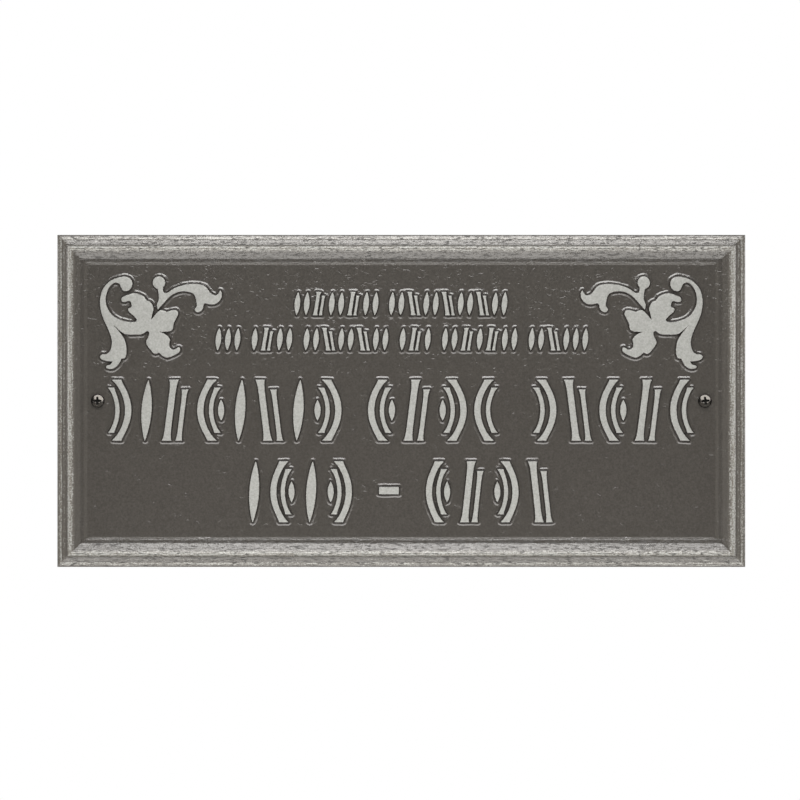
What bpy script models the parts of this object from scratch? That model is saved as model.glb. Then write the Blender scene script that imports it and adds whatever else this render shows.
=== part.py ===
"""Commemorative plaque: a sand-cast aluminium wall plaque and the two screws that hold it.

Metres, +Z up. The plaque's back lies in the plane y = 0, its front faces -Y, and the origin is
the middle of the back. Run with blender --background --python part.py, or from the text editor.
"""

import math

import bmesh
import bpy
from mathutils import Matrix, Vector
from mathutils.geometry import interpolate_bezier

MM = 0.001

# The casting
WIDTH = 0.3683
HEIGHT = 0.1778
FIELD_THICKNESS = 0.0050
RELIEF = 0.0017
ROOT = 0.0015
BACK_ARRIS = 0.0006

# The moulding, from the outer edge inwards; each height is measured from the back
EDGE_HEIGHT = 0.0040
EDGE_ROUND = 0.0012
BAND_WIDTH = 0.0041
BAND_HEIGHT = 0.0065
RIDGE_WIDTH = 0.0033
RIDGE_HEIGHT = 0.0083
SLOPE_WIDTH = 0.0044
SLOPE_HEIGHT = 0.0074
LEDGE_WIDTH = 0.0014
LEDGE_HEIGHT = 0.0056
STEP_WIDTH = 0.0012

# The screws
SCREW_FROM_END = 0.0218
HEAD_DIAMETER = 0.0073
HEAD_HEIGHT = 0.0023
HEAD_RIM = 0.0005
SEAT_GAP = 0.0003
SHANK_DIAMETER = 0.0036
SHANK_CLEARANCE = 0.0004
SCREW_LENGTH = 0.0254
TIP_LENGTH = 0.0040
CROSS_SPAN = 0.0044
CROSS_WIDTH = 0.0011
CROSS_DEPTH = 0.0015
CROSS_TAPER = 0.6

# The leaf scrolls
SCROLL_FROM_SIDE = 0.0340
SCROLL_FROM_TOP = 0.0326
SCROLL_TURN = math.radians(28)

# The rows of raised strokes: the shapes of one row share its stem and its gaps
ROW_SIDE_MARGIN = 0.0040
ROW_FOOT_MARGIN = 0.0060
FLARE = 0.5
ROWS = (
    {
        "foot": 0.0458,
        "height": 0.0124,
        "low_height": 0.0124,
        "length": 0.1147,
        "stem": 0.0019,
        "words": ("oo/oo/oo", "oo\\oo\\oo\\oo"),
        "gap": 0.14,
        "word_gap": 0.65,
        "shift": -0.0002,
    },
    {
        "foot": 0.0270,
        "height": 0.0120,
        "low_height": 0.0120,
        "length": 0.2001,
        "stem": 0.0019,
        "words": ("ooo", "o/oo", "oo\\oo\\oo", "o/o", "oo/o/oo", "oo\\ooo"),
        "gap": 0.14,
        "word_gap": 0.70,
        "shift": 0.0003,
    },
    {
        "foot": -0.0212,
        "height": 0.0325,
        "low_height": 0.0325,
        "length": 0.3177,
        "stem": 0.0034,
        "words": (")o/(o\\o)", "(/)(", ")\\(/("),
        "gap": 0.27,
        "word_gap": 0.95,
        "shift": -0.0003,
    },
    {
        "foot": -0.0648,
        "height": 0.0325,
        "low_height": 0.0325,
        "length": 0.1631,
        "stem": 0.0033,
        "words": ("o(o)", "-", "(/)\\"),
        "gap": 0.38,
        "word_gap": 1.10,
        "shift": -0.0007,
    },
)
GRAIN_SHARE = 0.55
DASH_SHARE = 0.80
DASH_HEIGHT = 0.0038
DASH_RISE = 0.0150

# Worked out from the sizes above
MOULDING_WIDTH = EDGE_ROUND + BAND_WIDTH + RIDGE_WIDTH + SLOPE_WIDTH + LEDGE_WIDTH + STEP_WIDTH
FIELD_HALF_WIDTH = WIDTH / 2 - MOULDING_WIDTH
FIELD_HALF_HEIGHT = HEIGHT / 2 - MOULDING_WIDTH
SCREW_X = WIDTH / 2 - SCREW_FROM_END
HOLE_DIAMETER = SHANK_DIAMETER + 2 * SHANK_CLEARANCE

# The outline of one scroll in millimetres from where its leaves cross. Each stretch is one smooth
# line, and the outline has a corner where a stretch ends and the next begins.
SCROLL = (
    # Outside of the curl, from its bulb down the stalk to the foot leaf
    ((-12.9, 18.3), (-9.6, 22.4), (-11.2, 25.2), (-14.6, 26.0), (-20.8, 24.0), (-25.3, 19.2),
     (-26.8, 12.5), (-25.6, 5.3), (-21.5, -4.3), (-20.4, -9.0), (-21.5, -13.8), (-23.6, -15.4),
     (-25.9, -15.7), (-26.8, -17.1), (-24.9, -18.6), (-20.1, -19.3)),
    # Tip and right side of the foot leaf
    ((-20.1, -19.3), (-21.2, -20.9), (-23.6, -22.1), (-21.8, -23.2), (-19.4, -22.9),
     (-17.1, -21.1), (-15.4, -17.8)),
    ((-15.4, -17.8), (-13.2, -17.0), (-12.6, -12.5), (-13.6, -7.8), (-16.0, -4.0), (-19.4, 0.0)),
    # Underside of the branch
    ((-19.4, 0.0), (-16.4, -2.6), (-13.5, -4.6), (-7.8, -4.9), (-4.2, -4.6), (-1.7, -2.9)),
    # Lower leaf
    ((-1.7, -2.9), (-0.5, -3.8), (-0.9, -6.0), (-2.1, -9.2), (0.4, -13.3), (2.4, -15.1),
     (4.8, -14.5)),
    ((4.8, -14.5), (6.9, -16.4), (9.3, -17.2), (13.7, -15.5), (16.0, -13.6), (15.5, -11.8),
     (12.6, -13.0), (10.6, -11.8), (10.3, -9.5), (10.6, -7.5), (8.6, -5.1), (4.8, -3.4)),
    # Right leaf
    ((4.8, -3.4), (9.3, -3.3), (11.8, -2.3), (12.6, 1.0), (13.9, 3.7), (15.0, 6.5), (13.6, 8.1),
     (9.0, 7.2)),
    ((9.0, 7.2), (6.9, 7.9), (5.4, 8.0), (2.8, 5.7), (0.5, 2.9)),
    # Upper leaf
    ((0.5, 2.9), (1.2, 6.3), (1.8, 9.2), (0.2, 12.4), (-1.7, 13.3), (-3.6, 15.5), (-8.2, 17.1),
     (-12.4, 16.1), (-15.0, 14.8), (-15.2, 13.0), (-13.6, 12.5), (-10.9, 13.0), (-10.0, 11.4)),
    ((-10.0, 11.4), (-9.9, 9.9), (-11.7, 8.9), (-11.2, 7.2), (-8.6, 4.9), (-7.0, 3.1)),
    # Inside of the curl, back up to its bulb
    ((-7.0, 3.1), (-7.9, 1.9), (-12.4, 1.9), (-19.0, 4.4), (-22.6, 8.9), (-23.7, 14.0),
     (-22.4, 19.3), (-19.3, 22.7), (-16.6, 22.3), (-15.3, 19.8), (-12.9, 18.3)),
)

# The spray beside it, in the same millimetres. Its round bud sits between the first two stretches.
SPRAY = (
    ((4.2, 8.4), (3.6, 10.6), (4.7, 14.5), (4.0, 19.9)),
    ((7.0, 20.7), (7.2, 17.8), (8.7, 17.2), (13.0, 19.8), (18.5, 21.6), (24.5, 22.1),
     (29.0, 21.0), (31.3, 18.6)),
    ((31.3, 18.6), (32.8, 16.8), (35.0, 16.0), (36.5, 17.0), (37.4, 18.8)),
    ((37.4, 18.8), (38.4, 16.8), (37.4, 13.5), (34.2, 11.3), (29.5, 11.9)),
    ((29.5, 11.9), (28.6, 10.9), (28.3, 9.3), (27.0, 7.6), (25.0, 7.1), (23.8, 8.4),
     (24.9, 10.2), (24.8, 12.5), (23.4, 16.6), (20.8, 17.9), (16.0, 18.1), (11.5, 16.2),
     (7.5, 12.2), (4.2, 8.4)),
)
BUD_CENTRE = (4.7, 23.1)
BUD_RADIUS = 3.3
BUD_START = math.radians(258)
BUD_END = math.radians(-46)


def clear_scene():
    for obj in list(bpy.data.objects):
        bpy.data.objects.remove(obj)


def new_collection(name):
    collection = bpy.data.collections.new(name)
    bpy.context.scene.collection.children.link(collection)
    return collection


def material(name, srgb, metallic, roughness):
    """A Principled material from 0-255 sRGB values."""
    made = bpy.data.materials.new(name)
    made.use_nodes = True
    shader = made.node_tree.nodes["Principled BSDF"]
    linear = [(c / 255 / 12.92) if c < 10.3 else ((c / 255 + 0.055) / 1.055) ** 2.4 for c in srgb]
    shader.inputs["Base Color"].default_value = (*linear, 1)
    shader.inputs["Metallic"].default_value = metallic
    shader.inputs["Roughness"].default_value = roughness
    made.diffuse_color = (*linear, 1)
    return made


def add_object(name, mesh, collection, *materials):
    obj = bpy.data.objects.new(name, mesh)
    for each in materials:
        mesh.materials.append(each)
    collection.objects.link(obj)
    return obj


def as_cutter(obj):
    obj.hide_render = True
    obj.display_type = "WIRE"
    return obj


def boolean(obj, operation, other):
    modifier = obj.modifiers.new(f"{operation.title()} {other.name}", "BOOLEAN")
    modifier.operation = operation
    modifier.object = other
    modifier.solver = "EXACT"
    return modifier


def smooth_line(points, turn):
    """A smooth line through the points, cut into one straight for each turn that it makes."""
    knots = [Vector(p) for p in points]
    along = [(b - a).normalized() for a, b in zip(knots, knots[2:])]
    line = [knots[0]]
    for i, (start, end) in enumerate(zip(knots, knots[1:])):
        reach = (end - start).length / 3
        leave = start + along[i - 1] * reach if i > 0 else None
        arrive = end - along[i] * reach if i < len(along) else None
        leave = leave or start.lerp(arrive or end, 0.5)
        arrive = arrive or end.lerp(leave, 0.5)
        bend = (leave - start).angle(arrive - leave, 0) + (arrive - leave).angle(end - arrive, 0)
        steps = max(1, math.ceil(bend / turn))
        line += interpolate_bezier(start, leave, arrive, end, steps + 1)[1:]
    return line


def arc(centre, radius, start, end, turn):
    steps = math.ceil(abs(end - start) / turn)
    angles = [start + (end - start) * i / steps for i in range(steps + 1)]
    return [Vector(centre) + radius * Vector((math.cos(a), math.sin(a))) for a in angles]


def scroll_outlines():
    """The leaf scroll and the spray of the left corner, then the same two mirrored to the right."""
    scroll = []
    for stretch in SCROLL:
        scroll += smooth_line(stretch, SCROLL_TURN)[:-1]
    bud = arc(BUD_CENTRE, BUD_RADIUS, BUD_START, BUD_END, SCROLL_TURN)
    spray = smooth_line(SPRAY[0], SCROLL_TURN)[:-1] + bud[:-1]
    for stretch in SPRAY[1:]:
        spray += smooth_line(stretch, SCROLL_TURN)[:-1]
    corner = Vector((-FIELD_HALF_WIDTH + SCROLL_FROM_SIDE, FIELD_HALF_HEIGHT - SCROLL_FROM_TOP))
    left = [[corner + p * MM * relief_fit() for p in outline] for outline in (scroll, spray)]
    right = [[Vector((-p.x, p.y)) for p in reversed(outline)] for outline in left]
    return left + right


def upright(foot, top, middle, width, steps):
    """A stroke between two heights. Its middle and its width are functions of the share of height."""
    rising = []
    falling = []
    for i in range(steps + 1):
        share = (1 - math.cos(math.pi * i / steps)) / 2
        z = foot + (top - foot) * share
        half = width(share) / 2
        rising.append(Vector((middle(share) + half, z)))
        if half > 0:
            falling.append(Vector((middle(share) - half, z)))
    return rising + falling[::-1]


def flared(stem):
    """The width of a stroke that spreads at both ends, as a chisel leaves it."""
    return lambda share: stem * (1 + FLARE * (2 * share - 1) ** 8)


def pointed(stem):
    """The width of a grain, pointed at both ends."""
    return lambda share: stem * math.sin(math.pi * share) ** 0.8 if 0 < share < 1 else 0


def nested_bows(x, foot, height, slot, stem, opens, seeded):
    """Two bows, one beside the other, and on a tall row a seed in their hollow."""
    tall = height > 2 * slot
    bend = (0.42 if tall else 0.20) * slot
    near = x if opens > 0 else x + slot

    def bow(start, rise, low, high, width, steps):
        depth = rise * (high - low) ** 2
        return upright(
            foot + height * low,
            foot + height * high,
            lambda share: near + opens * (start + width / 2 + depth * (2 * share - 1) ** 2),
            flared(width),
            steps,
        )

    fine = 0.68 * stem
    strokes = [bow(0, bend, 0, 1, stem, 8 if tall else 4)]
    if tall:
        strokes.append(bow(0.42 * slot, bend, 0.13, 0.87, fine, 6))
    else:
        strokes.append(bow(0.50 * slot, bend, 0, 1, fine, 4))
    if tall and seeded:
        seed = near + opens * (0.86 * slot)
        z = foot + height * 0.33
        strokes.append(upright(z, z + height * 0.34, lambda share: seed, pointed(stem), 4))
    return strokes


def leaning_pair(x, foot, height, slot, stem, leans):
    """A thick and a fine stroke that lean the same way."""
    lean = 0.27 * slot
    fine = 0.72 * stem
    spread = 1 + FLARE
    steps = 6 if height > 2 * slot else 4
    first = x + stem * spread / 2
    second = x + slot - fine * spread / 2 - lean

    def leaning(start, top, width):
        run = lean * top
        return upright(
            foot,
            foot + height * top,
            lambda share: start + (run * share if leans > 0 else lean - run * share),
            flared(width),
            steps,
        )

    return [leaning(first, 1, stem), leaning(second, 0.84, fine)]


def grain(x, foot, height, slot, stem):
    """One slim grain, pointed at both ends, for a narrow slot."""
    middle = x + slot / 2
    lean = 0.12 * slot
    width = min(slot, 1.6 * stem)
    steps = 6 if height > 10 * stem else 4
    return [
        upright(foot, foot + height, lambda share: middle + lean * (2 * share - 1), pointed(width), steps)
    ]


def dash(x, foot, slot):
    corners = ((0, 0), (slot, 0), (slot, DASH_HEIGHT), (0, DASH_HEIGHT))
    return [[Vector((x + dx, foot + DASH_RISE + dz)) for dx, dz in corners]]


def slot_share(sign):
    return {"o": GRAIN_SHARE, "-": DASH_SHARE}.get(sign, 1)


def row_outlines(row):
    """One row, spread to its length: ( ) nested bows, / \\ leaning pairs, o a grain, - a dash."""
    words = row["words"]
    shares = sum(slot_share(sign) for word in words for sign in word)
    gaps = sum(len(word) - 1 for word in words) * row["gap"] + (len(words) - 1) * row["word_gap"]
    unit = row["length"] / (shares + gaps)
    x = row["shift"] - row["length"] / 2
    foot = row["foot"]
    stem = row["stem"]
    outlines = []
    for word in words:
        for place, sign in enumerate(word):
            slot = slot_share(sign) * unit
            height = row["height"] if place == 0 or sign == "o" else row["low_height"]
            if sign in "()":
                opens = 1 if sign == "(" else -1
                seeded = place + opens in range(len(word))
                outlines += nested_bows(x, foot, height, slot, stem, opens, seeded)
            elif sign in "/\\":
                outlines += leaning_pair(x, foot, height, slot, stem, 1 if sign == "/" else -1)
            elif sign == "o":
                outlines += grain(x, foot, height, slot, stem)
            else:
                outlines += dash(x, foot, slot)
            x += slot + row["gap"] * unit
        x += (row["word_gap"] - row["gap"]) * unit
    return [[p * relief_fit() for p in outline] for outline in outlines]


def relief_fit():
    """1 where the rows fit the field as they are, and less on a smaller field, which shrinks them."""
    reach = max(row["length"] / 2 + abs(row["shift"]) for row in ROWS) + ROW_SIDE_MARGIN
    drop = -min(row["foot"] for row in ROWS) + ROW_FOOT_MARGIN
    return min(1, FIELD_HALF_WIDTH / reach, FIELD_HALF_HEIGHT / drop)


def moulding_profile():
    """The moulding's section, as inset from the outer edge and height above the back."""
    section = [(0, EDGE_HEIGHT)]
    for angle in (30, 60, 90):
        a = math.radians(angle)
        section.append((EDGE_ROUND * (1 - math.cos(a)), EDGE_HEIGHT + EDGE_ROUND * math.sin(a)))
    inset, height = section[-1]
    for share in (0.35, 0.7, 1):
        rise = (BAND_HEIGHT - height) * share**1.3
        section.append((inset + BAND_WIDTH * share, height + rise))
    inset += BAND_WIDTH
    for angle in (150, 120, 90, 60, 30, 0):
        a = math.radians(angle)
        share = (1 + math.cos(a)) / 2
        base = BAND_HEIGHT + (SLOPE_HEIGHT - BAND_HEIGHT) * share
        section.append((inset + RIDGE_WIDTH * share, base + (RIDGE_HEIGHT - base) * math.sin(a)))
    inset += RIDGE_WIDTH
    for share in (0.25, 0.5, 0.75, 1):
        drop = (SLOPE_HEIGHT - LEDGE_HEIGHT) * (3 * share**2 - 2 * share**3)
        section.append((inset + SLOPE_WIDTH * share, SLOPE_HEIGHT - drop))
    inset += SLOPE_WIDTH + LEDGE_WIDTH
    section.append((inset, LEDGE_HEIGHT))
    section.append((inset + STEP_WIDTH * 0.4, FIELD_THICKNESS + (LEDGE_HEIGHT - FIELD_THICKNESS) * 0.8))
    section.append((inset + STEP_WIDTH, FIELD_THICKNESS))
    return section


def face_towards(bm, direction):
    return max(bm.faces, key=lambda face: face.normal.dot(direction))


def moulded_plate(name, collection, dark, rubbed):
    """The plate: a slab whose front face is inset once for each point of the moulding's section."""
    bm = bmesh.new()
    bmesh.ops.create_cube(bm, size=1)
    thickness = EDGE_HEIGHT - BACK_ARRIS
    place = Matrix.Translation((0, -BACK_ARRIS - thickness / 2, 0))
    bm.transform(place @ Matrix.Diagonal((WIDTH, thickness, HEIGHT, 1)))
    bm.normal_update()
    back = face_towards(bm, Vector((0, 1, 0)))
    bmesh.ops.inset_region(
        bm, faces=[back], thickness=BACK_ARRIS, depth=BACK_ARRIS, use_even_offset=True
    )
    front = face_towards(bm, Vector((0, -1, 0)))
    section = moulding_profile()
    for (inset, height), (next_inset, next_height) in zip(section, section[1:]):
        ring = bmesh.ops.inset_region(
            bm,
            faces=[front],
            thickness=next_inset - inset,
            depth=next_height - height,
            use_even_offset=True,
        )
        for face in ring["faces"]:
            face.material_index = 1 if next_height > SLOPE_HEIGHT else 0
    mesh = bpy.data.meshes.new(name)
    bm.to_mesh(mesh)
    bm.free()
    return add_object(name, mesh, collection, dark, rubbed)


def raised_work(name, outlines, collection, dark, rubbed):
    """The scrolls and the strokes as closed solids rooted in the plate, with rubbed faces."""
    curve = bpy.data.curves.new(name, "CURVE")
    curve.dimensions = "2D"
    curve.fill_mode = "BOTH"
    curve.extrude = (RELIEF + ROOT) / 2
    for outline in outlines:
        spline = curve.splines.new("POLY")
        spline.points.add(len(outline) - 1)
        for point, at in zip(spline.points, outline):
            point.co = (at.x, at.y, 0, 1)
        spline.use_cyclic_u = True
    guide = bpy.data.objects.new(f"{name}_outlines", curve)
    collection.objects.link(guide)
    graph = bpy.context.evaluated_depsgraph_get()
    mesh = bpy.data.meshes.new_from_object(guide.evaluated_get(graph))
    bpy.data.objects.remove(guide)
    bm = bmesh.new()
    bm.from_mesh(mesh)
    mesh.materials.clear()
    bmesh.ops.remove_doubles(bm, verts=bm.verts, dist=0.00001)
    bmesh.ops.recalc_face_normals(bm, faces=bm.faces)
    middle = FIELD_THICKNESS + (RELIEF - ROOT) / 2
    bm.transform(Matrix.Translation((0, -middle, 0)) @ Matrix.Rotation(math.pi / 2, 4, "X"))
    bm.normal_update()
    for face in bm.faces:
        face.material_index = 1 if face.normal.y < -0.9 else 0
    bm.to_mesh(mesh)
    bm.free()
    mesh.name = name
    return as_cutter(add_object(name, mesh, collection, dark, rubbed))


def screw_hole(name, x, collection):
    """A cutter for a clearance hole, longer than the plate is thick at each end."""
    bm = bmesh.new()
    bmesh.ops.create_cone(
        bm,
        cap_ends=True,
        segments=32,
        radius1=HOLE_DIAMETER / 2,
        radius2=HOLE_DIAMETER / 2,
        depth=4 * FIELD_THICKNESS,
    )
    bm.transform(Matrix.Translation((x, -FIELD_THICKNESS / 2, 0)) @ Matrix.Rotation(math.pi / 2, 4, "X"))
    mesh = bpy.data.meshes.new(name)
    bm.to_mesh(mesh)
    bm.free()
    return as_cutter(add_object(name, mesh, collection))


def cross_arm(name, x, turn, collection):
    """A cutter for one slot of the cross recess, which narrows towards its bottom."""
    bm = bmesh.new()
    half = math.sqrt(0.5)
    depth = 2 * CROSS_DEPTH
    bmesh.ops.create_cone(
        bm, cap_ends=True, segments=4, radius1=half * CROSS_TAPER, radius2=half * (2 - CROSS_TAPER), depth=depth
    )
    bm.transform(Matrix.Rotation(math.pi / 4, 4, "Z"))
    bm.transform(Matrix.Diagonal((CROSS_SPAN, CROSS_WIDTH, 1, 1)))
    bm.transform(Matrix.Rotation(turn, 4, "Z"))
    bm.transform(Matrix.Translation((x, -head_top(), 0)) @ Matrix.Rotation(math.pi / 2, 4, "X"))
    mesh = bpy.data.meshes.new(name)
    bm.to_mesh(mesh)
    bm.free()
    return as_cutter(add_object(name, mesh, collection))


def head_top():
    return FIELD_THICKNESS + SEAT_GAP + HEAD_HEIGHT


def screw_profile():
    """Half of the screw's section, from its tip to the top of the dome, as radius and height."""
    seat = FIELD_THICKNESS + SEAT_GAP
    tip = seat - SCREW_LENGTH
    profile = [(0, tip), (SHANK_DIAMETER / 2, tip + TIP_LENGTH), (SHANK_DIAMETER / 2, seat)]
    profile.append((HEAD_DIAMETER / 2, seat))
    rise = HEAD_HEIGHT - HEAD_RIM
    for angle in (0, 20, 40, 60, 77):
        a = math.radians(angle)
        profile.append((HEAD_DIAMETER / 2 * math.cos(a), seat + HEAD_RIM + rise * math.sin(a)))
    profile.append((0, seat + HEAD_HEIGHT))
    return profile


def screw(name, x, collection, cutters, finish):
    """A round-head screw: its section turned about its axis, with two slots that make the cross."""
    profile = screw_profile()
    mesh = bpy.data.meshes.new(name)
    vertices = [(radius, 0, height) for radius, height in profile]
    edges = [(i, i + 1) for i in range(len(profile) - 1)]
    mesh.from_pydata(vertices, edges, [])
    obj = add_object(name, mesh, collection, finish)
    obj.location.x = x
    obj.rotation_euler.x = math.pi / 2
    turned = obj.modifiers.new("Turn", "SCREW")
    turned.steps = 24
    turned.render_steps = 24
    turned.use_merge_vertices = True
    turned.merge_threshold = 0.00001
    turned.use_normal_calculate = True
    for arm, turn in (("upright", math.pi / 2), ("level", 0)):
        boolean(obj, "DIFFERENCE", cross_arm(f"{name}_{arm}_slot", x, turn, cutters))
    return obj


def build():
    clear_scene()
    parts = new_collection("commemorative_plaque")
    cutters = new_collection("cutters")
    dark = material("dark_enamelled_aluminium", (86, 82, 77), 0.3, 0.55)
    rubbed = material("rubbed_aluminium", (186, 190, 184), 1.0, 0.45)
    black = material("blackened_steel", (28, 27, 26), 0.9, 0.3)
    plaque = moulded_plate("cast_plaque", parts, dark, rubbed)
    for side, x in (("left", -SCREW_X), ("right", SCREW_X)):
        boolean(plaque, "DIFFERENCE", screw_hole(f"{side}_hole", x, cutters))
        screw(f"{side}_screw", x, parts, cutters, black)
    outlines = scroll_outlines()
    for row in ROWS:
        outlines += row_outlines(row)
    boolean(plaque, "UNION", raised_work("raised_work", outlines, cutters, dark, rubbed))


build()
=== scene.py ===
# %% [markdown]
# # A cast commemorative plaque
#
# The real object is one sand casting: a plate with a moulded frame, two leaf scrolls and rows of
# raised strokes, all poured together, and two blackened screws that hold it to a wall. The
# casting was sprayed with a dark pewter-grey enamel, and the high faces were rubbed back to metal.
#
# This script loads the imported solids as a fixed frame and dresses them. Everything is planned in
# millimetres, with x to the reader's right and z up, and turned to metres once, at the end.

# %% Load the frame
import itertools
import math
import random

import bmesh
import bpy
import numpy as np
from mathutils import Matrix, Vector, kdtree, noise
from mathutils.geometry import delaunay_2d_cdt, interpolate_bezier


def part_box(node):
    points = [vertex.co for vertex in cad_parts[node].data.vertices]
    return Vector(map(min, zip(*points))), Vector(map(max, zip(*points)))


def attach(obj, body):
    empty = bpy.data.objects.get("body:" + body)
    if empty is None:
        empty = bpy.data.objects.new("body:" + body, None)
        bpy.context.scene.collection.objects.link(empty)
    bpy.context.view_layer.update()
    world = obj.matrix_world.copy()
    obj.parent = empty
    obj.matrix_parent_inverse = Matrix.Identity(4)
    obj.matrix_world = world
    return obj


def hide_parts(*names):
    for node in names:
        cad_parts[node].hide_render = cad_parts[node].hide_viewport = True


MM = 0.001
random.seed(7)
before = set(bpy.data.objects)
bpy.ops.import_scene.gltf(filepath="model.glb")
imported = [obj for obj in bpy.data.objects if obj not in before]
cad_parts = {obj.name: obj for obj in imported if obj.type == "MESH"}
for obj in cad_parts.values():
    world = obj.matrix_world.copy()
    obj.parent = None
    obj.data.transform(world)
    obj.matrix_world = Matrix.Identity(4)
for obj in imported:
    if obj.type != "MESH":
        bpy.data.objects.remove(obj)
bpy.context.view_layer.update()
plaque_low, plaque_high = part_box("cast_plaque")
WIDTH = (plaque_high.x - plaque_low.x) / MM
HEIGHT = (plaque_high.z - plaque_low.z) / MM
print(f"plaque {WIDTH:.1f} x {HEIGHT:.1f} mm, ridge {-plaque_low.y / MM:.1f} mm above the wall")

# %% [markdown]
# ## The plan of the relief
#
# The scroll's outline is a chain of smooth stretches with a corner wherever one ends and the next
# begins, which is how a pattern carver cuts it: long sweeps of the gouge, then a sharp notch. A
# Bezier curve through a few points gives each sweep, and it is cut into short straights at the end.
# The alternative, a mesh drawn by hand, would need hundreds of points and could not be refined.

# %% Sizes of the casting, in millimetres
FIELD = 5.0
RELIEF = 1.7
RIDGE = 8.3
BACK_ARRIS = 0.6
MOULDING_WIDTH = 15.6
HALF_X = WIDTH / 2 - MOULDING_WIDTH
HALF_Z = HEIGHT / 2 - MOULDING_WIDTH
STEP_SPREAD = 0.9
print(f"field {2 * HALF_X:.1f} x {2 * HALF_Z:.1f} mm inside the frame")

# %% Outlines of the leaf scroll and its spray, from the point where the leaves cross
SCROLL_CENTRE = Vector((-HALF_X + 34.3, HALF_Z - 32.9))
SCROLL = (
    ((-12.9, 18.3), (-11.2, 18.9), (-9.6, 21.2), (-9.8, 23.8), (-11.6, 25.5), (-14.6, 26.0),
     (-20.8, 24.0), (-25.3, 19.2), (-26.8, 12.5), (-25.6, 5.3), (-21.5, -4.3), (-20.4, -9.0),
     (-21.5, -13.8), (-23.6, -15.4), (-25.9, -15.7), (-26.8, -17.1), (-24.9, -18.6), (-20.1, -19.3)),
    ((-20.1, -19.3), (-21.2, -20.9), (-23.6, -22.1), (-21.8, -23.2), (-19.4, -22.9),
     (-17.1, -21.1), (-15.4, -17.8)),
    ((-15.4, -17.8), (-13.2, -17.0), (-12.6, -12.5), (-13.6, -7.8), (-16.0, -4.0), (-19.4, 0.0)),
    ((-19.4, 0.0), (-16.4, -2.6), (-13.5, -4.6), (-7.8, -4.9), (-4.2, -4.6), (-1.7, -2.9)),
    ((-1.7, -2.9), (-0.5, -3.8), (-0.9, -6.0), (-2.1, -9.2), (0.4, -13.3), (2.4, -15.1),
     (4.8, -14.5)),
    ((4.8, -14.5), (6.9, -16.4), (9.3, -17.2), (13.7, -15.5), (16.0, -13.6), (15.5, -11.8),
     (12.6, -13.0), (10.6, -11.8), (10.3, -9.5), (10.6, -7.5), (8.6, -5.1), (4.8, -3.4)),
    ((4.8, -3.4), (9.3, -3.3), (11.8, -2.3), (12.6, 1.0), (13.9, 3.7), (15.0, 6.5), (13.6, 8.1),
     (9.0, 7.2)),
    ((9.0, 7.2), (6.9, 7.9), (5.4, 8.0), (2.8, 5.7), (0.5, 2.9)),
    ((0.5, 2.9), (1.2, 6.3), (1.8, 9.2), (0.2, 12.4), (-1.7, 13.3), (-3.6, 15.5), (-8.2, 17.1),
     (-12.4, 16.1), (-15.0, 14.8), (-15.2, 13.0), (-13.6, 12.5), (-10.9, 13.0), (-10.0, 11.4)),
    ((-10.0, 11.4), (-9.9, 9.9), (-11.7, 8.9), (-11.2, 7.2), (-8.6, 4.9), (-7.0, 3.1)),
    ((-7.0, 3.1), (-7.9, 1.9), (-12.4, 1.9), (-19.0, 4.4), (-22.6, 8.9), (-23.7, 14.0),
     (-22.4, 19.3), (-19.3, 22.7), (-16.6, 22.3), (-15.5, 20.3), (-14.5, 18.7), (-12.9, 18.3)),
)
SPRAY = (
    ((4.2, 8.4), (3.6, 10.6), (4.7, 14.5), (4.0, 19.9)),
    ((7.0, 20.7), (7.2, 17.8), (8.7, 17.2), (13.0, 19.8), (18.5, 21.6), (24.5, 22.1),
     (29.0, 21.0), (31.3, 18.6)),
    ((31.3, 18.6), (32.8, 16.8), (35.0, 16.0), (36.5, 17.0), (37.4, 18.8)),
    ((37.4, 18.8), (38.4, 16.8), (37.4, 13.5), (34.2, 11.3), (29.5, 11.9)),
    ((29.5, 11.9), (28.6, 10.9), (28.3, 9.3), (27.0, 7.6), (25.0, 7.1), (23.8, 8.4),
     (24.9, 10.2), (24.8, 12.5), (23.4, 16.6), (20.8, 17.9), (16.0, 18.1), (11.5, 16.2),
     (7.5, 12.2), (4.2, 8.4)),
)
BUD_CENTRE = (4.7, 22.8)
BUD_RADIUS = 3.3
BUD_ANGLES = (math.radians(258), math.radians(-46))
TURN = math.radians(8)


def smooth_line(points):
    """A smooth line through the points, cut into one straight for each turn that it makes."""
    knots = [Vector(p) for p in points]
    along = [(b - a).normalized() for a, b in zip(knots, knots[2:])]
    line = [knots[0]]
    for i, (start, end) in enumerate(zip(knots, knots[1:])):
        reach = (end - start).length / 3
        leave = start + along[i - 1] * reach if i > 0 else None
        arrive = end - along[i] * reach if i < len(along) else None
        leave = leave or start.lerp(arrive or end, 0.5)
        arrive = arrive or end.lerp(leave, 0.5)
        bend = (leave - start).angle(arrive - leave, 0) + (arrive - leave).angle(end - arrive, 0)
        steps = max(1, math.ceil(bend / TURN))
        line += interpolate_bezier(start, leave, arrive, end, steps + 1)[1:]
    return line


def arc(centre, radius, start, end):
    steps = math.ceil(abs(end - start) / TURN)
    angles = [start + (end - start) * i / steps for i in range(steps + 1)]
    return [Vector(centre) + radius * Vector((math.cos(a), math.sin(a))) for a in angles]


def scroll_outlines():
    scroll = [p for stretch in SCROLL for p in smooth_line(stretch)[:-1]]
    spray = smooth_line(SPRAY[0])[:-1] + arc(BUD_CENTRE, BUD_RADIUS, *BUD_ANGLES)[:-1]
    spray += [p for stretch in SPRAY[1:] for p in smooth_line(stretch)[:-1]]
    left = [[SCROLL_CENTRE + p for p in outline] for outline in (scroll, spray)]
    right = [[Vector((-p.x, p.y)) for p in reversed(outline)] for outline in left]
    return left + right


outlines = scroll_outlines()
print(f"{len(outlines)} scroll outlines, {sum(map(len, outlines))} points")

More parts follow.
